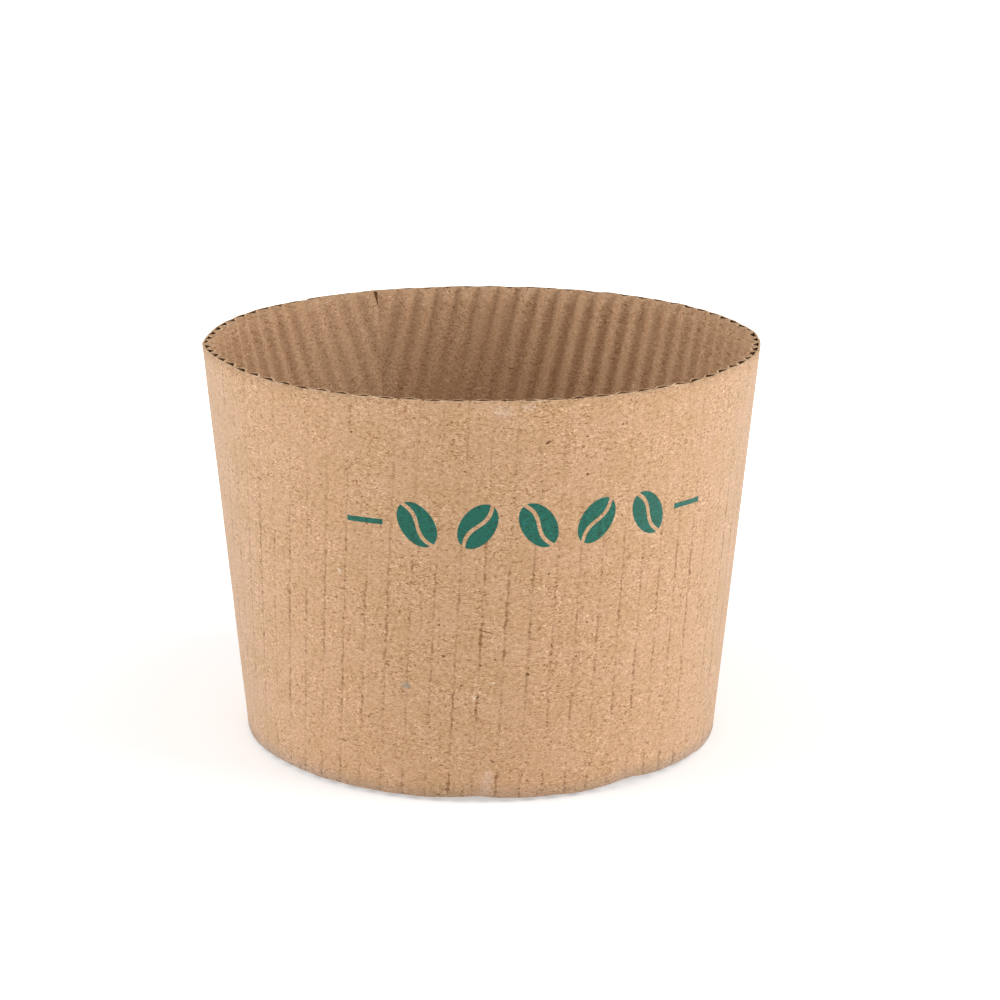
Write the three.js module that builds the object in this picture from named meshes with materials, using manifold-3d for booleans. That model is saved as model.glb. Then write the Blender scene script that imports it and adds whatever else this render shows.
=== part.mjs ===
// Coffee cup sleeve of corrugated board, in millimetres, standing on its narrow end with +Z up. The
// origin is the centre of the bottom edge. The front faces -Y, and an azimuth is counted from there
// towards +X.
import * as THREE from "three";
import { mergeVertices } from "three/addons/utils/BufferGeometryUtils.js";
import Module from "manifold-3d";

// Size of the standing sleeve, over the outside of the liner
const height = 59.4;
const bottomDiameter = 71.5;
const widening = 11;

// Single-face board: a smooth liner outside, and a fluted paper glued to its inner face
const linerThickness = 0.3;
const flutingThickness = 0.22;
const fluteRise = 0.83;
const flutePitch = 3.35;
const glueLineWidth = 0.8;
const firstGlueLine = 0.85;

// The flutes run along the centre line of the blank, so they lean more the further they are from it
const centreLineAzimuth = THREE.MathUtils.degToRad(34);

// Glued lap where the two ends of the blank meet, pressed thin by the gluing
const lapLength = 12;
const lapRamp = 6;
const lapFluteShare = 0.35;
const glueBite = 0.12;

// Two creases, a quarter turn to each side of the front panel's middle, from being packed flat
const frontPanelAzimuth = THREE.MathUtils.degToRad(7.4);
const creaseSpread = THREE.MathUtils.degToRad(5);
const creaseWidth = 5;
const creaseFluteShare = 0.25;

// How finely the mesh follows the form
const levels = 4;
const waveSteps = 6;

const kraftBrown = 0xc69d78;

// The outer face is a cone, which unrolls to a flat ring sector centred on the cone's tip
const bottomRadius = bottomDiameter / 2;
const topRadius = bottomRadius + widening / 2;
const middleRadius = (bottomRadius + topRadius) / 2;
const coneAngle = Math.atan2(widening / 2, height);
const sectorTurn = Math.sin(coneAngle);
const bottomArc = bottomRadius / sectorTurn;
const topArc = topRadius / sectorTurn;

// Thickness of the board where its flutes are whole, and where the lap has pressed them
const boardThickness = linerThickness + flutingThickness + fluteRise;
const pressedThickness = linerThickness + flutingThickness + fluteRise * lapFluteShare;

// Azimuths of the two ends of the blank, which overlap by the lap, and of the creases
const lapAngle = lapLength / middleRadius;
const rampAngle = lapRamp / middleRadius;
const underEnd = centreLineAzimuth - Math.PI - lapAngle / 2;
const overEnd = centreLineAzimuth + Math.PI + lapAngle / 2;
const creases = [frontPanelAzimuth - Math.PI / 2, frontPanelAzimuth + Math.PI / 2];

const wasm = await Module();
wasm.setup();

function smooth(value) {
  return THREE.MathUtils.smoothstep(value, 0, 1);
}

// 1 within the lap, fading to 0 over the ramp beside it
function lapShare(azimuth) {
  const fromEnd = Math.min(azimuth - underEnd, overEnd - azimuth);
  return 1 - smooth((fromEnd - lapAngle) / rampAngle);
}

// How much of the flutes' rise is left at an azimuth, after the lap's pressing and the creases
function fluteShare(azimuth) {
  let share = THREE.MathUtils.lerp(1, lapFluteShare, lapShare(azimuth));
  for (const crease of creases) {
    const distance = Math.abs(azimuth - crease) * middleRadius;
    const crush = 1 - smooth(distance / (creaseWidth / 2));
    share *= THREE.MathUtils.lerp(1, creaseFluteShare, crush);
  }
  return share;
}

// How far the outer face stands outside the plain cone at an azimuth. The board runs straight into
// each crease, the under ply of the lap keeps its inner face in line, and the over ply lies on it.
function lift(azimuth) {
  let total = 0;
  for (const crease of creases) {
    const within = Math.max(0, creaseSpread - Math.abs(azimuth - crease));
    total += middleRadius * (1 / Math.cos(within) - 1);
  }
  const overPlyLift = 2 * pressedThickness - boardThickness - glueBite;
  const underPlyLift = pressedThickness - boardThickness;
  return total + lapShare(azimuth) * (azimuth > centreLineAzimuth ? overPlyLift : underPlyLift);
}

// Where a point of the board lies on the sleeve. The point is a distance across the flutes in the
// flat blank, a level from 0 at the bottom edge to 1 at the top edge, and a depth into the board,
// which is a thickness of paper and a share of the flutes' rise. Depth is taken level, so both
// edges of the sleeve are flat.
function onSleeve(point, flute, level) {
  const across = firstGlueLine + (flute + point.phase) * flutePitch;
  const lowest = Math.sqrt(bottomArc ** 2 - across ** 2);
  const highest = Math.sqrt(topArc ** 2 - across ** 2);
  const along = THREE.MathUtils.lerp(lowest, highest, level);
  const slant = Math.hypot(across, along);
  const azimuth = centreLineAzimuth + Math.atan2(across, along) / sectorTurn;
  const depth = point.paper + point.wave * fluteRise * fluteShare(azimuth);
  const radius = slant * sectorTurn + lift(azimuth) - depth / Math.cos(coneAngle);
  const z = (slant - bottomArc) * Math.cos(coneAngle);
  return new THREE.Vector3(radius * Math.sin(azimuth), -radius * Math.cos(azimuth), z);
}

// A point of the fluted paper at a phase of its wave, on its outer side (-1) or inner side (1). The
// paper's thickness is measured square to the wave.
function onFluting(phase, side) {
  const angle = 2 * Math.PI * phase;
  const steepness = Math.atan((Math.PI * fluteRise * Math.sin(angle)) / flutePitch);
  const halfThickness = flutingThickness / 2 / Math.cos(steepness);
  const paper = linerThickness + flutingThickness / 2 + side * halfThickness;
  return { phase, paper, wave: (1 - Math.cos(angle)) / 2 };
}

// Section of one flute, from one glue line to the next: the outline of the board, and the channel
// between the liner and the fluted paper
const outerFace = [0, 0.5, 1].map((phase) => ({ phase, paper: 0, wave: 0 }));
const innerFace = [];
for (let step = waveSteps; step >= 0; step--) {
  innerFace.push(onFluting(step / waveSteps, 1));
}
const glueEdge = glueLineWidth / 2 / flutePitch;
const channel = [{ phase: glueEdge, paper: linerThickness, wave: 0 }];
for (let step = 2; step <= waveSteps - 2; step++) {
  channel.push(onFluting(step / waveSteps, -1));
}
channel.push({ phase: 1 - glueEdge, paper: linerThickness, wave: 0 });

const sectionPoints = [...outerFace, ...innerFace, ...channel];
function flat(point) {
  return new THREE.Vector2(point.phase * flutePitch, point.paper + point.wave * fluteRise);
}
const sectionFaces = THREE.ShapeUtils.triangulateShape(
  [...outerFace, ...innerFace].map(flat),
  [channel.map(flat)],
);

// Turns a list of triangle corners into a solid
function solidFrom(corners) {
  const soup = new THREE.BufferGeometry().setFromPoints(corners);
  const merged = mergeVertices(soup, 1e-4);
  const vertProperties = merged.getAttribute("position").array;
  const triVerts = new Uint32Array(merged.index.array);
  return new wasm.Manifold(new wasm.Mesh({ numProp: 3, vertProperties, triVerts }));
}

// Part of the board as a solid of its own, from one glue line to another
function boardPiece(firstFlute, lastFlute) {
  const corners = [];

  // Faces swept by a section edge from the bottom edge of the sleeve to the top
  function sweep(start, end, flute) {
    for (let level = 0; level < levels; level++) {
      const low = level / levels;
      const high = (level + 1) / levels;
      const a = onSleeve(start, flute, low);
      const b = onSleeve(end, flute, low);
      const c = onSleeve(end, flute, high);
      const d = onSleeve(start, flute, high);
      const startIsDeeper = start.paper > end.paper;
      corners.push(...(startIsDeeper ? [a, b, d, b, c, d] : [a, b, c, a, c, d]));
    }
  }

  function sweepOpen(points, flute) {
    for (let i = 0; i + 1 < points.length; i++) {
      sweep(points[i], points[i + 1], flute);
    }
  }

  for (let flute = firstFlute; flute <= lastFlute; flute++) {
    sweepOpen(outerFace, flute);
    sweepOpen(innerFace, flute);
    sweepOpen([...channel, channel[0]], flute);
    for (const [a, b, c] of sectionFaces) {
      const [p, q, r] = [a, b, c].map((index) => sectionPoints[index]);
      corners.push(onSleeve(p, flute, 1), onSleeve(q, flute, 1), onSleeve(r, flute, 1));
      corners.push(onSleeve(p, flute, 0), onSleeve(r, flute, 0), onSleeve(q, flute, 0));
    }
  }
  sweep(innerFace.at(-1), outerFace[0], firstFlute);
  sweep(outerFace.at(-1), innerFace[0], lastFlute);
  return solidFrom(corners);
}

// A wedge that covers everything between two azimuths, to cut an end of the blank square
function wedge(fromAzimuth, toAzimuth) {
  const near = bottomRadius / 2;
  const far = topRadius * 1.5;
  const outline = new THREE.Shape([
    new THREE.Vector2(near * Math.sin(fromAzimuth), -near * Math.cos(fromAzimuth)),
    new THREE.Vector2(far * Math.sin(fromAzimuth), -far * Math.cos(fromAzimuth)),
    new THREE.Vector2(far * Math.sin(toAzimuth), -far * Math.cos(toAzimuth)),
    new THREE.Vector2(near * Math.sin(toAzimuth), -near * Math.cos(toAzimuth)),
  ]);
  const margin = 1;
  const prism = new THREE.ExtrudeGeometry(outline, {
    depth: height + 2 * margin,
    bevelEnabled: false,
  });
  prism.translate(0, 0, -margin);
  const position = prism.getAttribute("position");
  const corners = [];
  for (let i = 0; i < position.count; i++) {
    corners.push(new THREE.Vector3().fromBufferAttribute(position, i));
  }
  return solidFrom(corners);
}

// Each half of the board reaches past its end of the blank, and is cut back there along a straight
// line of the cone. The two halves meet at the first glue line, and the lap joins them behind.
function wholeSleeve() {
  const endReach = topArc * Math.sin((Math.PI + lapAngle / 2) * sectorTurn);
  const flutesOver = Math.ceil((endReach - firstGlueLine) / flutePitch);
  const flutesUnder = Math.ceil((endReach + firstGlueLine) / flutePitch);
  const spare = THREE.MathUtils.degToRad(45);
  const under = boardPiece(-flutesUnder, -1).subtract(wedge(underEnd - spare, underEnd));
  const over = boardPiece(0, flutesOver - 1).subtract(wedge(overEnd, overEnd + spare));
  return under.add(over);
}

function geometryOf(solid) {
  const mesh = solid.getMesh();
  const geometry = new THREE.BufferGeometry();
  geometry.setAttribute("position", new THREE.BufferAttribute(mesh.vertProperties, 3));
  geometry.setIndex(new THREE.BufferAttribute(mesh.triVerts, 1));
  return geometry;
}

const kraft = new THREE.MeshStandardMaterial({ color: kraftBrown, roughness: 0.9, metalness: 0 });
const sleeve = new THREE.Mesh(geometryOf(wholeSleeve()), kraft);
sleeve.name = "sleeve";

const part = new THREE.Group();
part.add(sleeve);

export default part;
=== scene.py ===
import math

import bpy
import numpy as np
from mathutils import Matrix, Vector


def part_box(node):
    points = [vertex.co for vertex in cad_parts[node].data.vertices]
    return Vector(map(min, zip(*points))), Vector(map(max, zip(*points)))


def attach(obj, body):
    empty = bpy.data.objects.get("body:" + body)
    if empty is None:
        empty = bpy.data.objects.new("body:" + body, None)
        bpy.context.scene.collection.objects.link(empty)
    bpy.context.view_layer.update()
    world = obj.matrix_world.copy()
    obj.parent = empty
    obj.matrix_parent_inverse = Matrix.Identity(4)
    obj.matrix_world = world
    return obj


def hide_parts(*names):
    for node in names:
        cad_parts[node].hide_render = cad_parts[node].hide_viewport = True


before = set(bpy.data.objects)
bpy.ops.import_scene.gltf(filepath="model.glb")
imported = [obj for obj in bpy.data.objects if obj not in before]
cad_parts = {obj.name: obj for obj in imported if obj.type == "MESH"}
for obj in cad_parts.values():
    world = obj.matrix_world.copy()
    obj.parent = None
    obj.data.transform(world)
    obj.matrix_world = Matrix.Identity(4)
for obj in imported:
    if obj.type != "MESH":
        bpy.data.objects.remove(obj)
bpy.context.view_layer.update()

scene = bpy.context.scene
scene.view_settings.view_transform = "Standard"

# Liner
# The outside of the board: smooth brown kraft paper, die-cut with the fluted paper behind it to one
# ring sector, rolled to a cone, lapped behind and glued. The two creases are from being packed flat.
MM = 0.001
box_low, box_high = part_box("sleeve")
height = box_high.z
top_radius = (box_high.y - box_low.y) / 2
bottom_radius = 35.75 * MM
middle_radius = (bottom_radius + top_radius) / 2
cone_angle = math.atan2(top_radius - bottom_radius, height)
sector_turn = math.sin(cone_angle)
bottom_arc = bottom_radius / sector_turn
top_arc = top_radius / sector_turn

liner_thickness = 0.3 * MM
fluting_thickness = 0.22 * MM
flute_rise = 0.83 * MM
flute_pitch = 3.35 * MM
first_glue_line = 0.85 * MM
board_thickness = liner_thickness + fluting_thickness + flute_rise

centre_line_azimuth = math.radians(34)
lap_angle = 12 * MM / middle_radius
lap_ramp_angle = 6 * MM / middle_radius
lap_flute_share = 0.35
pressed_thickness = liner_thickness + fluting_thickness + flute_rise * lap_flute_share
half_sector = math.pi + lap_angle / 2

front_azimuth = math.radians(7.4)
crease_azimuths = (front_azimuth - math.pi / 2, front_azimuth + math.pi / 2)
crease_spread = math.radians(5)
crease_half_width = 2.5 * MM
crease_flute_share = 0.25
back_flattening = 0.45 * MM
back_start = math.radians(84)
back_ramp = math.radians(22)


def smooth(value):
    """Eases from 0 to 1: three times the square less two times the cube, held at 0 and 1 outside."""
    held = np.clip(value, 0, 1)
    return held * held * (3 - 2 * held)


def wobble(place, wavelength, seed):
    """A smooth random wave with a size of about 1: the sum of five sines of the place, near one
    wavelength and with seeded phases, over its usual size."""
    sines = 5
    usual_size = 2.2
    draw = np.random.default_rng(seed)
    total = np.zeros_like(place)
    for turns, phase in zip(draw.uniform(0.6, 1.9, sines), draw.uniform(0, 2 * np.pi, sines)):
        total = total + np.sin(2 * np.pi * place * turns / wavelength + phase)
    return total / usual_size


def azimuth_of(across, along):
    """The blank's angle about the centre of its arcs, spread out by the cone to the sleeve's own."""
    return centre_line_azimuth + np.arctan2(across, along) / sector_turn


def lap_share(azimuth):
    """1 in the lap at either end of the blank, easing to 0 over the ramp beside it."""
    from_end = half_sector - np.abs(azimuth - centre_line_azimuth)
    return 1 - smooth((from_end - lap_angle) / lap_ramp_angle)


def flute_share(azimuth):
    """The share of the flutes' rise that the lap's pressing and the two creases leave standing."""
    share = 1 + (lap_flute_share - 1) * lap_share(azimuth)
    for crease in crease_azimuths:
        crush = 1 - smooth(np.abs(azimuth - crease) * middle_radius / crease_half_width)
        share = share * (1 + (crease_flute_share - 1) * crush)
    return share


def lift(azimuth):
    """How far the outer face stands off the plain cone: tangents that meet at each crease, the
    panel behind them a little flatter, less the pressed flutes under the lap, or plus what the
    over ply must clear."""
    from_front = np.abs(azimuth - front_azimuth)
    round_to = np.minimum(from_front, 2 * math.pi - from_front)
    total = -back_flattening * smooth((round_to - back_start) / back_ramp)
    for crease in crease_azimuths:
        within = np.maximum(0, crease_spread - np.abs(azimuth - crease))
        total = total + middle_radius * (1 / np.cos(within) - 1)
    over = 2 * pressed_thickness - board_thickness
    under = pressed_thickness - board_thickness
    return total + lap_share(azimuth) * np.where(azimuth > centre_line_azimuth, over, under)


def edge_runs(across, arc, heights, seed):
    """The place along the flutes of an edge that runs off its plain arc by heights given round the
    sleeve as pairs of azimuth in degrees and millimetres, with the knife's fine unevenness."""
    unevenness = 0.04
    azimuth = np.degrees(azimuth_of(across, np.sqrt(arc**2 - across**2)))
    degrees, rises = np.array(heights).T
    rise = np.interp(azimuth, degrees, rises) + unevenness * wobble(across, 9 * MM, seed)
    slant = arc + rise * MM / math.cos(cone_angle)
    return np.sqrt(slant**2 - across**2)


bottom_heights = [
    (-155, 0.3), (-85, 0.3), (-68, 0.4), (-57, 0.65), (-45, 0.6), (-12, 0.6), (-7, 0.8), (0, 1.02),
    (4, 0.8), (9, 0.6), (24, 0.55), (30, 0.72), (34, 1.05), (37.5, 1.2), (41.5, 0.82), (46, 0.64),
    (52, 0.5), (60, 0.4), (68, 0.1), (95, 0.08), (223, 0.3),
]
top_heights = [
    (-155, 0.0), (-90, 0.2), (-72, 0.55), (-62, 0.65), (-54, 0.4), (-40, 0.2), (-10, 0.2), (0, 0.32),
    (20, 0.18), (34, 0.3), (45, 0.22), (58, 0.45), (80, 0.2), (223, 0.0),
]
bottom_seed = 3
top_seed = 4


def along_blank(across, level):
    """The place along the flutes at a level: 0 is the bottom edge or the blank's end, whichever is
    further on, and 1 is the top edge."""
    lowest = edge_runs(across, bottom_arc, bottom_heights, bottom_seed)
    end_line = np.abs(across) / math.tan(half_sector * sector_turn)
    highest = edge_runs(across, top_arc, top_heights, top_seed)
    return np.maximum(lowest, end_line) * (1 - level) + highest * level


def on_sleeve(across, along, depth):
    """Rolls the blank up: the distance from the centre of its arcs gives radius and height, and the
    depth into the board is taken off the radius, level."""
    slant = np.hypot(across, along)
    azimuth = azimuth_of(across, along)
    radius = slant * sector_turn + lift(azimuth) - depth / math.cos(cone_angle)
    z = (slant - bottom_arc) * math.cos(cone_angle)
    return np.stack([radius * np.sin(azimuth), -radius * np.cos(azimuth), z], -1)


def closed_sheet(name, outer, inner, outer_flat, inner_flat, papers):
    """A sheet of paper from two grids of points, rows up the sheet and columns across it: both
    faces, and a strip round the four edges, with a paper for each in that order. Its UV map holds
    the place in the flat blank."""
    rows, columns = outer.shape[:2]
    index = np.arange(rows * columns).reshape(rows, columns)
    back = index + rows * columns

    def quads(a, b, c, d):
        return np.stack([a.ravel(), b.ravel(), c.ravel(), d.ravel()], -1)

    front_faces = quads(index[:-1, :-1], index[:-1, 1:], index[1:, 1:], index[1:, :-1])
    back_faces = quads(back[:-1, :-1], back[1:, :-1], back[1:, 1:], back[:-1, 1:])
    edges = np.concatenate([
        quads(index[0, 1:], index[0, :-1], back[0, :-1], back[0, 1:]),
        quads(index[-1, :-1], index[-1, 1:], back[-1, 1:], back[-1, :-1]),
        quads(index[:-1, 0], index[1:, 0], back[1:, 0], back[:-1, 0]),
        quads(index[1:, -1], index[:-1, -1], back[:-1, -1], back[1:, -1]),
    ])
    faces = np.concatenate([front_faces, back_faces, edges])
    points = np.concatenate([outer.reshape(-1, 3), inner.reshape(-1, 3)])
    flat = np.concatenate([outer_flat.reshape(-1, 2), inner_flat.reshape(-1, 2)])

    mesh = bpy.data.meshes.new(name)
    mesh.from_pydata(points, [], faces)
    uv_map = mesh.uv_layers.new(name="blank")
    uv_map.data.foreach_set("uv", flat[faces.ravel()].astype(np.float32).ravel())
    for paper in papers:
        mesh.materials.append(paper)
    slots = np.repeat([0, 1, 2], [len(front_faces), len(back_faces), len(edges)]).astype(np.int32)
    mesh.polygons.foreach_set("material_index", slots)
    mesh.polygons.foreach_set("use_smooth", slots < 2)
    mesh.update()
    piece = bpy.data.objects.new(name, mesh)
    scene.collection.objects.link(piece)
    return piece


def add_node(tree, kind, settings=None, **inputs):
    """Adds a shader node, sets its properties, and fills its inputs with values or links. An input
    is called by its name, or by i and its number where several have the same name."""
    made = tree.nodes.new(kind)
    for key, value in (settings or {}).items():
        setattr(made, key, value)
    for key, value in inputs.items():
        socket = made.inputs[int(key[1:])] if key[0] == "i" and key[1:].isdigit() else made.inputs[key]
        if isinstance(value, bpy.types.NodeSocket):
            tree.links.new(value, socket)
        else:
            socket.default_value = value
    return made


def maths(tree, operation, a, b=0.0, c=0.0):
    """One Math node, and its result."""
    return add_node(tree, "ShaderNodeMath", {"operation": operation}, i0=a, i1=b, i2=c).outputs[0]


def spread(tree, value, low, high, to_low=0.0, to_high=1.0):
    """Eases a value from one range to another, held at its ends."""
    ends = {"From Min": low, "From Max": high, "To Min": to_low, "To Max": to_high}
    return add_node(tree, "ShaderNodeMapRange", {"interpolation_type": "SMOOTHSTEP"},
                    Value=value, **ends).outputs[0]


def new_group(name, inputs, outputs):
    """An empty node group with the named sockets, and its two ends."""
    tree = bpy.data.node_groups.new(name, "ShaderNodeTree")
    for socket_name, socket_type, value in inputs:
        socket = tree.interface.new_socket(socket_name, in_out="INPUT", socket_type=socket_type)
        if value is not None:
            socket.default_value = value
    for socket_name, socket_type in outputs:
        tree.interface.new_socket(socket_name, in_out="OUTPUT", socket_type=socket_type)
    return tree, tree.nodes.new("NodeGroupInput"), tree.nodes.new("NodeGroupOutput")


def fibre_group():
    """Unbleached paper pulp: fine grain and streaks drawn out across the flutes, with curled fibres
    darker and lighter than it, stronger in some patches, and a slow mottle. Change is about 0, and
    above it where the pulp is lighter."""
    tree, start, end = new_group(
        "pulp_fibres",
        [("Place", "NodeSocketVector", None), ("Contrast", "NodeSocketFloat", 1.0)],
        [("Change", "NodeSocketFloat"), ("Height", "NodeSocketFloat"), ("Mottle", "NodeSocketFloat")],
    )
    place = start.outputs["Place"]
    grain_weight = 0.95
    streak_weight = 0.4
    dark_weight = 0.6
    light_weight = 0.55
    mottle_weight = 0.14
    grain_relief = 2.0

    def drawn_noise(angle, length, width, shift, detail=0.0):
        """Noise with grains of a length and width in millimetres, turned by degrees. The shift
        takes it from another part of the noise."""
        turned = add_node(tree, "ShaderNodeMapping", {"vector_type": "TEXTURE"}, Vector=place,
                          Location=(shift, shift * 0.7, 0), Rotation=(0, 0, math.radians(angle)),
                          Scale=(length, width, 1))
        return add_node(tree, "ShaderNodeTexNoise", {"noise_dimensions": "2D"},
                        Vector=turned.outputs[0], Scale=1.0, Detail=detail, Roughness=0.6).outputs["Fac"]

    def curls(angle, length, width, shift):
        """Short bent lines: where a noise crosses its middle value, kept in scattered places."""
        middle = maths(tree, "SUBTRACT", drawn_noise(angle, length, width, shift), 0.5)
        line = spread(tree, maths(tree, "ABSOLUTE", middle), 0.05, 0.02)
        kept = spread(tree, drawn_noise(angle, 0.9, 0.5, shift + 50), 0.53, 0.57)
        return maths(tree, "MULTIPLY", line, kept)

    dark = maths(tree, "MAXIMUM", curls(3, 1.4, 0.42, 3), curls(36, 0.9, 0.36, 17))
    light = maths(tree, "MAXIMUM", curls(-5, 1.3, 0.4, 29), curls(-38, 0.8, 0.36, 41))
    grain = maths(tree, "SUBTRACT", drawn_noise(0, 0.45, 0.2, 61, 1.0), 0.5)
    streaks = maths(tree, "SUBTRACT", drawn_noise(2, 1.6, 0.4, 71, 1.0), 0.5)
    mottle = drawn_noise(0, 6, 4.5, 83, 2.0)
    patches = spread(tree, drawn_noise(0, 7, 5, 97), 0.35, 0.65, 0.8, 1.15)

    fine = maths(tree, "MULTIPLY", grain, grain_weight)
    fine = maths(tree, "MULTIPLY_ADD", streaks, streak_weight, fine)
    fine = maths(tree, "MULTIPLY_ADD", dark, -dark_weight, fine)
    fine = maths(tree, "MULTIPLY_ADD", light, light_weight, fine)
    slow = maths(tree, "MULTIPLY", maths(tree, "SUBTRACT", mottle, 0.5), mottle_weight)
    change = maths(tree, "MULTIPLY_ADD", fine, patches, slow)
    change = maths(tree, "MULTIPLY", change, start.outputs["Contrast"])
    tree.links.new(change, end.inputs["Change"])
    relief = maths(tree, "MULTIPLY_ADD", grain, grain_relief, maths(tree, "SUBTRACT", light, dark))
    tree.links.new(relief, end.inputs["Height"])
    tree.links.new(mottle, end.inputs["Mottle"])
    return tree


def glue_line_group():
    """The fine dark marks that the gluing rolls press into the liner over each flute tip: a narrow
    line at every pitch, broken into dashes and dots. Their darkness is partly the glue and pressed
    paper, and partly painted shade for the dents. It is dark up to 4 mm from the bottom edge and
    again from 13 mm on, faint in between, and weaker towards the top."""
    tree, start, end = new_group(
        "glue_lines",
        [("Place", "NodeSocketVector", None), ("Up", "NodeSocketFloat", None)],
        [("Mark", "NodeSocketFloat"), ("Height", "NodeSocketFloat")],
    )
    place = start.outputs["Place"]
    faint_share = 0.22
    top_share = 0.45
    sway_width = 0.8
    dent_weight = 2.0
    sway = add_node(tree, "ShaderNodeTexNoise", Vector=place, Scale=0.9, Detail=2.0).outputs["Fac"]
    parts = add_node(tree, "ShaderNodeSeparateXYZ", Vector=place)
    swayed = maths(tree, "MULTIPLY_ADD", maths(tree, "SUBTRACT", sway, 0.5), sway_width,
                   parts.outputs["X"])
    turns = maths(tree, "DIVIDE", maths(tree, "SUBTRACT", swayed, first_glue_line / MM), flute_pitch / MM)
    number = maths(tree, "ROUND", turns)
    away = maths(tree, "ABSOLUTE", maths(tree, "SUBTRACT", turns, number))
    distance = maths(tree, "MULTIPLY", away, flute_pitch / MM)

    def line_noise(spacing, scale, detail):
        """Noise along the lines, with its own run on each."""
        on_line = add_node(tree, "ShaderNodeCombineXYZ", X=maths(tree, "MULTIPLY", number, spacing),
                           Y=maths(tree, "MULTIPLY", parts.outputs["Y"], scale)).outputs[0]
        return add_node(tree, "ShaderNodeTexNoise", {"noise_dimensions": "2D"}, Vector=on_line,
                        Scale=1.0, Detail=detail).outputs["Fac"]

    dashes = spread(tree, line_noise(7.31, 0.22, 1.0), 0.44, 0.62)
    dots = spread(tree, line_noise(3.77, 1.5, 1.0), 0.5, 0.7)
    own = add_node(tree, "ShaderNodeTexWhiteNoise", {"noise_dimensions": "1D"}, W=number).outputs["Value"]
    foot = spread(tree, start.outputs["Up"], 5.4, 4.2)
    body = maths(tree, "MULTIPLY", spread(tree, start.outputs["Up"], 8.6, 13),
                 spread(tree, start.outputs["Up"], 34, 46, 1.0, top_share))
    reach = maths(tree, "MAXIMUM", maths(tree, "MAXIMUM", foot, body), faint_share)
    texture = maths(tree, "MULTIPLY_ADD", dots, 0.45, maths(tree, "MULTIPLY_ADD", dashes, 0.42, 0.2))
    strength = maths(tree, "MULTIPLY", maths(tree, "MULTIPLY", reach, texture),
                     maths(tree, "MULTIPLY_ADD", own, 0.5, 0.6))
    half_width = maths(tree, "MULTIPLY_ADD", dots, 0.09, 0.1)
    inner = maths(tree, "SUBTRACT", half_width, distance)
    mark = maths(tree, "MULTIPLY", spread(tree, inner, -0.12, 0.06), strength)
    tree.links.new(mark, end.inputs["Mark"])
    dent = maths(tree, "MULTIPLY", spread(tree, distance, 0.4, 0.0), strength)
    tree.links.new(maths(tree, "MULTIPLY", dent, -dent_weight), end.inputs["Height"])
    return tree


def bean_row_group():
    """A generic print in one ink: five coffee beans in a row, each an ellipse split by a curved
    slit, between two short rules. They lean left and right in turn. Place is in millimetres from
    the middle of the print."""
    tree, start, end = new_group(
        "bean_row", [("Place", "NodeSocketVector", None)], [("Ink", "NodeSocketFloat")]
    )
    parts = add_node(tree, "ShaderNodeSeparateXYZ", Vector=start.outputs["Place"])
    x, y = parts.outputs["X"], parts.outputs["Y"]
    bean_spacing = 8.4
    bean_half_length = 3.6
    bean_half_width = 2.4
    slit_half_width = 0.28
    slit_bend = 0.45
    lean = math.radians(34)
    rule_middle = 24.4
    rule_half_length = 2.7
    rule_half_height = 0.39
    soft_edge = 0.05
    fine_edge = 0.03
    number = maths(tree, "ROUND", maths(tree, "DIVIDE", x, bean_spacing))
    number = maths(tree, "MINIMUM", maths(tree, "MAXIMUM", number, -2.0), 2.0)
    from_middle = maths(tree, "SUBTRACT", x, maths(tree, "MULTIPLY", number, bean_spacing))
    parity = maths(tree, "MULTIPLY_ADD", maths(tree, "PINGPONG", number, 1.0), 2.0, -1.0)
    angle = maths(tree, "MULTIPLY", parity, lean)
    centred = add_node(tree, "ShaderNodeCombineXYZ", X=from_middle, Y=y).outputs[0]
    turned = add_node(tree, "ShaderNodeVectorRotate", {"rotation_type": "Z_AXIS"},
                      Vector=centred, Angle=angle).outputs[0]
    own = add_node(tree, "ShaderNodeSeparateXYZ", Vector=turned)

    def squared(value, size):
        part = maths(tree, "DIVIDE", value, size)
        return maths(tree, "MULTIPLY", part, part)

    oval = maths(tree, "ADD", squared(own.outputs["X"], bean_half_width),
                 squared(own.outputs["Y"], bean_half_length))
    wave = maths(tree, "SINE", maths(tree, "MULTIPLY", own.outputs["Y"], math.pi / bean_half_length))
    bend = maths(tree, "MULTIPLY", wave, slit_bend)
    from_slit = maths(tree, "ABSOLUTE", maths(tree, "SUBTRACT", own.outputs["X"], bend))
    slit = spread(tree, from_slit, slit_half_width - soft_edge, slit_half_width + soft_edge)
    bean = maths(tree, "MULTIPLY", spread(tree, oval, 1.03, 0.97), slit)
    along_rule = maths(tree, "ABSOLUTE",
                       maths(tree, "SUBTRACT", maths(tree, "ABSOLUTE", x), rule_middle))
    rule = maths(
        tree, "MULTIPLY",
        spread(tree, along_rule, rule_half_length + soft_edge, rule_half_length - soft_edge),
        spread(tree, maths(tree, "ABSOLUTE", y), rule_half_height + fine_edge,
               rule_half_height - fine_edge),
    )
    tree.links.new(maths(tree, "MAXIMUM", bean, rule), end.inputs["Ink"])
    return tree


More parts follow.
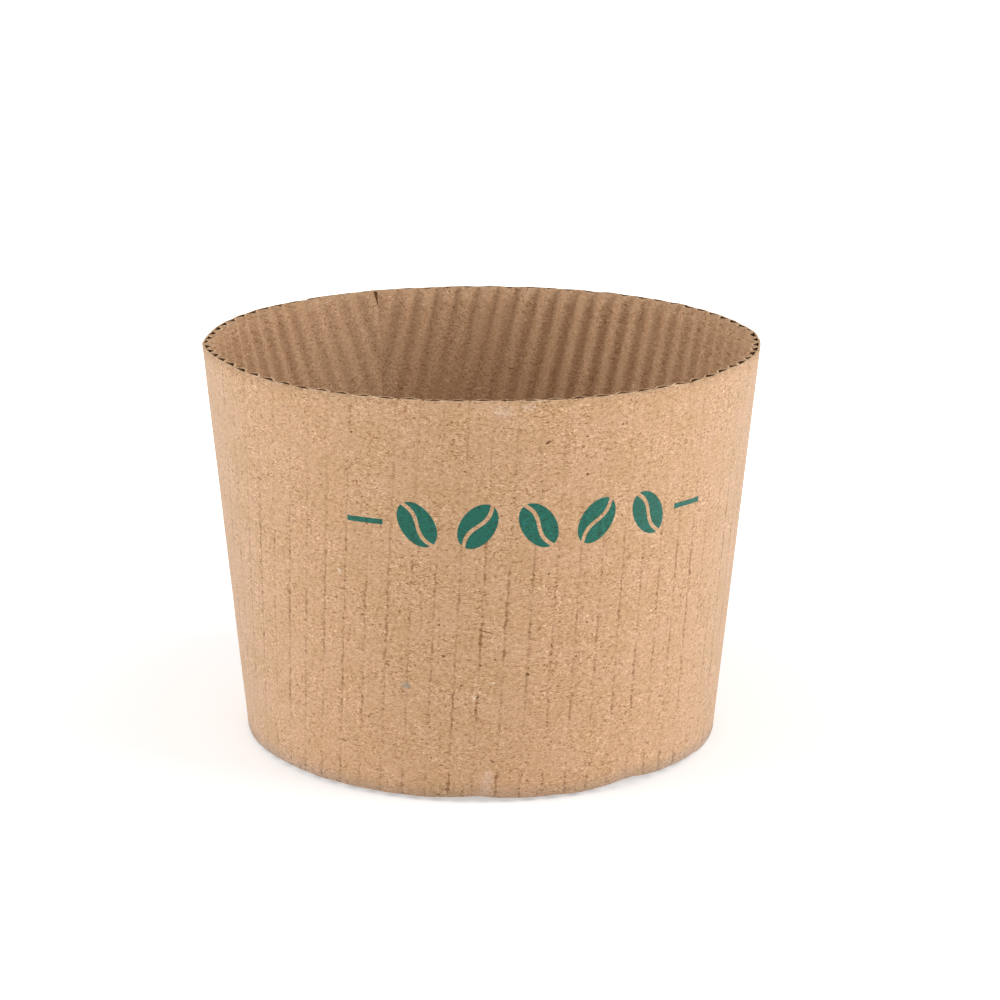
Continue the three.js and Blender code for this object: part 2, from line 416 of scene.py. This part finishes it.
def marks_group():
    """Traces of handling and of the pulp at fixed places: rubbed pale patches, a bluish spot,
    dark specks and fibres, and light ones. Round is the way round the sleeve and Up is up its
    slant, in millimetres."""
    tree, start, end = new_group(
        "marks",
        [("Place", "NodeSocketVector", None), ("Round", "NodeSocketFloat", None),
         ("Up", "NodeSocketFloat", None)],
        [("Pale", "NodeSocketFloat"), ("Blue", "NodeSocketFloat"), ("Dark", "NodeSocketFloat"),
         ("Light", "NodeSocketFloat")],
    )

    def blot(azimuth, up, half_length, half_width, angle, hardness):
        """A soft ellipse at an azimuth in degrees and a height up the slant, turned by degrees. The
        harder it is, the sharper its edge, up to a hardness of 1."""
        x = maths(tree, "SUBTRACT", start.outputs["Round"], math.radians(azimuth) * middle_radius / MM)
        y = maths(tree, "SUBTRACT", start.outputs["Up"], up)
        centred = add_node(tree, "ShaderNodeCombineXYZ", X=x, Y=y).outputs[0]
        own = add_node(tree, "ShaderNodeMapping", {"vector_type": "TEXTURE"}, Vector=centred,
                       Rotation=(0, 0, math.radians(angle)), Scale=(half_length, half_width, 1))
        size = add_node(tree, "ShaderNodeVectorMath", {"operation": "LENGTH"},
                        i0=own.outputs[0]).outputs["Value"]
        return spread(tree, size, 2 - hardness, hardness)

    def several(places, hardness):
        """Blots of one hardness, the strongest at each point."""
        total = 0.0
        for azimuth, up, half_length, half_width, angle in places:
            one = blot(azimuth, up, half_length, half_width, angle, hardness)
            total = maths(tree, "MAXIMUM", total, one)
        return total

    ragged = add_node(tree, "ShaderNodeTexNoise", Vector=start.outputs["Place"], Scale=2.2,
                      Detail=3.0, Roughness=0.7).outputs["Fac"]
    rubbed = several([
        (4.1, 58.5, 1.2, 0.8, 0), (9.0, 59.1, 0.9, 0.6, 0), (1.2, 2.9, 2.4, 0.75, 79),
    ], 0.4)
    pale = maths(tree, "MULTIPLY", rubbed, spread(tree, ragged, 0.36, 0.58))
    tree.links.new(pale, end.inputs["Pale"])
    tree.links.new(blot(-16.2, 17.7, 0.62, 0.42, 0, 0.3), end.inputs["Blue"])
    dark = several([
        (12.8, 53.9, 0.4, 0.18, 35), (10, 19.8, 0.34, 0.2, -30), (-7.9, 22.6, 0.23, 0.2, 0),
        (2.6, 6.5, 0.42, 0.11, -33), (1.1, 26.4, 1.2, 0.07, -14), (21.1, 48.9, 0.2, 0.17, 0),
        (13.8, 34.7, 0.22, 0.12, 20), (-8.7, 27.3, 0.18, 0.14, 0), (-0.1, 21.3, 0.2, 0.16, 0),
        (-25.7, 54.6, 0.2, 0.14, 0), (20.6, 21.9, 0.15, 0.22, 0), (28.1, 55.6, 0.2, 0.13, 0),
        (3, 22.2, 0.22, 0.12, 20), (-11.2, 11.6, 0.2, 0.12, 0), (-4.1, 18.2, 0.27, 0.12, 30),
        (-0.7, 16.4, 0.27, 0.14, 30), (9.3, 4.2, 0.11, 0.2, 0),
    ], 0.7)
    light = several([
        (2.7, 18.6, 0.26, 0.12, 0), (-1.4, 16.2, 0.55, 0.1, 60), (-30.5, 33.9, 0.45, 0.12, -45),
    ], 0.7)
    tree.links.new(light, end.inputs["Light"])
    tree.links.new(dark, end.inputs["Dark"])
    return tree


fibre_effect = fibre_group()
glue_line_effect = glue_line_group()
bean_row = bean_row_group()
marks_effect = marks_group()


def blank_place(tree):
    """The place in the flat blank in millimetres, from the piece's UV map."""
    uv = add_node(tree, "ShaderNodeUVMap", {"uv_map": "blank"})
    return add_node(tree, "ShaderNodeVectorMath", {"operation": "SCALE"},
                    i0=uv.outputs[0], Scale=1 / MM).outputs[0]


def use_group(tree, group, **inputs):
    """Places a node group in a material and fills its inputs."""
    return add_node(tree, "ShaderNodeGroup", {"node_tree": group}, **inputs)


def shaded_by(tree, change, colour):
    """A colour with the pulp's change: the blue part moves most, so dark fibres are also deeper."""
    share_by_part = (0.66, 0.86, 1.12)
    factor = add_node(tree, "ShaderNodeVectorMath", {"operation": "MULTIPLY_ADD"},
                      i0=change, i1=share_by_part, i2=(1, 1, 1)).outputs[0]
    return add_node(tree, "ShaderNodeVectorMath", {"operation": "MULTIPLY"},
                    i0=colour, i1=factor).outputs[0]


def over_colour(tree, below, colour, mask):
    """One colour laid over another where a mask says so."""
    return add_node(tree, "ShaderNodeMix", {"data_type": "RGBA"}, i6=below,
                    i7=colour, Factor=mask).outputs[2]


def new_material(name):
    """A material with an empty Principled surface, its tree and that shader."""
    material = bpy.data.materials.new(name)
    material.use_nodes = True
    tree = material.node_tree
    return material, tree, tree.nodes["Principled BSDF"]


def liner_kraft():
    """Brown kraft with the rolls' dark lines, partly painted shade, the green print and a few marks of
    handling.
    """
    kraft_ochre = (0.581, 0.349, 0.182)
    kraft_pink = (0.599, 0.358, 0.201)
    line_brown_and_painted_shade = (0.27, 0.125, 0.042)
    pale_rub = (0.72, 0.54, 0.43)
    spot_blue = (0.26, 0.28, 0.27)
    fleck_cream = (0.86, 0.72, 0.56)
    speck_brown = (0.125, 0.042, 0.006)
    ink_green = (0.004, 0.122, 0.082)
    pale_share = 0.5
    spot_share = 0.6
    speck_share = 0.9
    fleck_share = 0.8
    print_azimuth = math.radians(11.5)
    print_up = 42
    material, tree, shader = new_material("liner_kraft")
    place = blank_place(tree)
    parts = add_node(tree, "ShaderNodeSeparateXYZ", Vector=place)
    slant = add_node(tree, "ShaderNodeVectorMath", {"operation": "LENGTH"}, i0=place).outputs["Value"]
    turn = maths(tree, "ARCTAN2", parts.outputs["X"], parts.outputs["Y"])
    azimuth = maths(tree, "MULTIPLY_ADD", turn, 1 / sector_turn, centre_line_azimuth)
    up = maths(tree, "SUBTRACT", slant, bottom_arc / MM)
    fibres = use_group(tree, fibre_effect, Place=place)
    lines = use_group(tree, glue_line_effect, Place=place, Up=up)
    marks = use_group(tree, marks_effect, Place=place, Up=up,
                      Round=maths(tree, "MULTIPLY", azimuth, middle_radius / MM))

    print_radius = (bottom_arc / MM + print_up) * sector_turn
    print_x = maths(tree, "MULTIPLY", maths(tree, "SUBTRACT", azimuth, print_azimuth), print_radius)
    print_y = maths(tree, "SUBTRACT", up, print_up)
    print_place = add_node(tree, "ShaderNodeCombineXYZ", X=print_x, Y=print_y).outputs[0]
    ink = use_group(tree, bean_row, Place=print_place).outputs["Ink"]

    hue = spread(tree, fibres.outputs["Mottle"], 0.35, 0.65)
    paper = over_colour(tree, (*kraft_ochre, 1), (*kraft_pink, 1), hue)
    # The glue lines' colour: partly the glue and pressed paper, partly painted shade for their dents.
    lined = over_colour(tree, paper, (*line_brown_and_painted_shade, 1), lines.outputs["Mark"])
    rubbed = over_colour(tree, lined, (*pale_rub, 1),
                         maths(tree, "MULTIPLY", marks.outputs["Pale"], pale_share))
    printed = over_colour(tree, rubbed, (*ink_green, 1), ink)
    spotted = over_colour(tree, printed, (*spot_blue, 1),
                          maths(tree, "MULTIPLY", marks.outputs["Blue"], spot_share))
    shaded = shaded_by(tree, fibres.outputs["Change"], spotted)
    specked = over_colour(tree, shaded, (*speck_brown, 1),
                          maths(tree, "MULTIPLY", marks.outputs["Dark"], speck_share))
    flecked = over_colour(tree, specked, (*fleck_cream, 1),
                          maths(tree, "MULTIPLY", marks.outputs["Light"], fleck_share))
    tree.links.new(flecked, shader.inputs["Base Color"])
    shader.inputs["Roughness"].default_value = 0.85
    shader.inputs["Specular IOR Level"].default_value = 0.35
    shader.inputs["Sheen Weight"].default_value = 0.34
    shader.inputs["Sheen Roughness"].default_value = 0.5
    relief = maths(tree, "ADD", lines.outputs["Height"], fibres.outputs["Height"])
    bump = add_node(tree, "ShaderNodeBump", Strength=0.6, Distance=0.03 * MM, Height=relief)
    tree.links.new(bump.outputs["Normal"], shader.inputs["Normal"])
    return material


def cut_edge():
    """The knife's cut through the paper, paler than its faces and a little furry."""
    edge_tan = (0.60, 0.395, 0.235)
    furry_contrast = 1.4
    material, tree, shader = new_material("cut_edge")
    fibres = use_group(tree, fibre_effect, Place=blank_place(tree), Contrast=furry_contrast)
    tree.links.new(shaded_by(tree, fibres.outputs["Change"], edge_tan), shader.inputs["Base Color"])
    shader.inputs["Roughness"].default_value = 0.95
    shader.inputs["Specular IOR Level"].default_value = 0.2
    bump = add_node(tree, "ShaderNodeBump", Strength=0.6, Distance=0.05 * MM,
                    Height=fibres.outputs["Height"])
    tree.links.new(bump.outputs["Normal"], shader.inputs["Normal"])
    return material


def plain_kraft(name, colour, contrast):
    """The rougher paper of the faces without print: the waves, and the liner behind them."""
    material, tree, shader = new_material(name)
    fibres = use_group(tree, fibre_effect, Place=blank_place(tree), Contrast=contrast)
    tree.links.new(shaded_by(tree, fibres.outputs["Change"], colour), shader.inputs["Base Color"])
    shader.inputs["Roughness"].default_value = 0.9
    shader.inputs["Specular IOR Level"].default_value = 0.25
    bump = add_node(tree, "ShaderNodeBump", Strength=0.5, Distance=0.04 * MM,
                    Height=fibres.outputs["Height"])
    tree.links.new(bump.outputs["Normal"], shader.inputs["Normal"])
    return material


def blank_grid(across_line, rows):
    """A grid of places in the blank: a row of places across the flutes at each of some even levels
    from the bottom edge to the top."""
    level = np.linspace(0, 1, rows + 1)[:, None]
    across = np.broadcast_to(across_line, (rows + 1, len(across_line)))
    return level, across, along_blank(across, level)


def across_lines(columns):
    """Places across the flutes, a number of columns to each, from the first to the last glue line."""
    steps = np.arange(first_line * columns, last_line * columns + 1) / columns
    return first_glue_line + steps * flute_pitch


# Paper inside the flute channels, on the liner's back and the waves' outer face: a dark brown that is
# painted shade for the narrow slots.
channel_painted_shade_brown = (0.105, 0.047, 0.017)
kraft_contrast = 0.9
edge_material = cut_edge()
channel_painted_shade_material = plain_kraft("channel_kraft_painted_shade", channel_painted_shade_brown, kraft_contrast)
end_trim = 0.03 * MM
end_reach = top_arc * math.sin(half_sector * sector_turn) - end_trim
liner_columns = 12
liner_rows = 24
glue_dent = 0.035 * MM
dent_half_width = 0.35 * MM

first_line = -math.floor((end_reach + first_glue_line) / flute_pitch)
last_line = math.floor((end_reach - first_glue_line) / flute_pitch)
liner_across = np.concatenate([[-end_reach], across_lines(liner_columns), [end_reach]])
level, across, along = blank_grid(liner_across, liner_rows)
lines_away = (across - first_glue_line) / flute_pitch
from_line = np.abs(lines_away - np.round(lines_away)) * flute_pitch
dent = glue_dent * np.exp(-((from_line / dent_half_width) ** 2))
flat = np.stack([across, along], -1)
liner = closed_sheet(
    "liner",
    on_sleeve(across, along, dent),
    on_sleeve(across, along, np.full_like(across, liner_thickness)),
    flat, flat, (liner_kraft(), channel_painted_shade_material, edge_material),
)
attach(liner, "root")
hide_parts("sleeve")

# Fluted paper
# The corrugated inner ply, brown semi-chemical paper pressed into waves between hot rolls and glued
# by its outer tips to the liner. Its inner tips bear on what the sleeve is put on.
fluting_brown = (0.50, 0.305, 0.175)
fluting_columns = 16
fluting_rows = 20
middle_depth = liner_thickness + fluting_thickness / 2
level, across, along = blank_grid(across_lines(fluting_columns), fluting_rows)
share = flute_share(azimuth_of(across, along))
wave_angle = 2 * np.pi * (across - first_glue_line) / flute_pitch
steepness = np.pi * flute_rise * share * np.sin(wave_angle) / flute_pitch
depth = middle_depth + flute_rise * share * (1 - np.cos(wave_angle)) / 2
square = np.sqrt(1 + steepness**2)


def fluting_face(side):
    """One face of the waves: half the paper's thickness from its middle, square to the wave."""
    offset = side * fluting_thickness / 2 / square
    face_across = np.clip(across - offset * steepness, -end_reach, end_reach)
    face_along = along_blank(face_across, level)
    return on_sleeve(face_across, face_along, depth + offset), np.stack([across, face_along], -1)


outer_points, outer_flat = fluting_face(-1)
inner_points, inner_flat = fluting_face(1)
fluting_material = plain_kraft("fluting_kraft", fluting_brown, kraft_contrast)
# The waves' outer face takes the dark channel paper, which is painted shade.
fluting = closed_sheet(
    "fluted_paper", outer_points, inner_points, outer_flat, inner_flat,
    (channel_painted_shade_material, fluting_material, edge_material),
)
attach(fluting, "root")
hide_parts("sleeve")

# Camera
# It stands in front of the print and a little above, and looks down at the sleeve with a long
# lens. Its place is that of the photograph, worked out in the sleeve's own frame.
camera_data = bpy.data.cameras.new("camera")
camera = bpy.data.objects.new("camera", camera_data)
scene.collection.objects.link(camera)
camera_data.sensor_width = 36
camera_data.lens = 95.34
pitch = math.radians(15.599)
yaw = math.radians(0.357)
roll = math.radians(0.22)
level_part = math.cos(pitch)
forward = np.array([math.sin(yaw) * level_part, math.cos(yaw) * level_part, -math.sin(pitch)])
level_right = np.array([math.cos(yaw), -math.sin(yaw), 0])
level_up = np.cross(level_right, forward)
right = math.cos(roll) * level_right + math.sin(roll) * level_up
up = -math.sin(roll) * level_right + math.cos(roll) * level_up
turn = Matrix([[right[i], up[i], -forward[i]] for i in range(3)])
camera_place = (0.4 * MM, -385.37 * MM, 142.14 * MM)
camera.matrix_world = Matrix.Translation(camera_place) @ turn.to_4x4()
scene.camera = camera

# Floor and light
# A plain white floor under a white world, and a large soft lamp at each side, the right one the
# brighter, so that the middle of the front is a little darker than its sides.


def seen_plainly(tree):
    """1 for what the camera sees, also in a gloss or through glass, and 0 for all other light."""
    path = add_node(tree, "ShaderNodeLightPath")
    through = maths(tree, "MAXIMUM", path.outputs["Is Glossy Ray"], path.outputs["Is Transmission Ray"])
    return maths(tree, "MAXIMUM", path.outputs["Is Camera Ray"], through)


def white_floor():
    """White paper that keeps the shadow near the sleeve, and shows as plain white further off."""
    near_glow = 0.34
    glow_start = 0.05
    glow_end = 0.2
    material, tree, shader = new_material("white_floor")
    shader.inputs["Base Color"].default_value = (0.8, 0.8, 0.8, 1)
    shader.inputs["Roughness"].default_value = 1
    shader.inputs["Specular IOR Level"].default_value = 0
    here = add_node(tree, "ShaderNodeNewGeometry").outputs["Position"]
    away = add_node(tree, "ShaderNodeVectorMath", {"operation": "LENGTH"}, i0=here).outputs["Value"]
    glow = spread(tree, away, glow_start, glow_end, near_glow, 1.0)
    shader.inputs["Emission Color"].default_value = (1, 1, 1, 1)
    tree.links.new(maths(tree, "MULTIPLY", seen_plainly(tree), glow), shader.inputs["Emission Strength"])
    return material


floor_half = 1.5
floor_mesh = bpy.data.meshes.new("floor")
corners = [(-floor_half, -floor_half, 0), (floor_half, -floor_half, 0),
           (floor_half, floor_half, 0), (-floor_half, floor_half, 0)]
floor_mesh.from_pydata(corners, [], [(0, 1, 2, 3)])
floor_mesh.materials.append(white_floor())
floor = bpy.data.objects.new("floor", floor_mesh)
scene.collection.objects.link(floor)

world = bpy.data.worlds.new("studio")
scene.world = world
world.use_nodes = True
sky = world.node_tree
background = sky.nodes["Background"]
background.inputs["Color"].default_value = (1, 1, 1, 1)
world_light = 0.7
sky_strength = maths(sky, "MULTIPLY_ADD", seen_plainly(sky), 1 - world_light, world_light)
sky.links.new(sky_strength, background.inputs["Strength"])


def soft_lamp(name, place, watts):
    """A large square lamp that faces the middle of the sleeve."""
    data = bpy.data.lights.new(name, "AREA")
    data.size = 0.5
    data.energy = watts
    lamp = bpy.data.objects.new(name, data)
    scene.collection.objects.link(lamp)
    lamp.location = place
    aim = Vector((0, 0, height / 2)) - lamp.location
    lamp.rotation_euler = aim.to_track_quat("-Z", "Y").to_euler()


soft_lamp("lamp_right", (0.77, -0.21, 0.3), 4.4)
soft_lamp("lamp_left", (-0.77, -0.21, 0.3), 3.4)
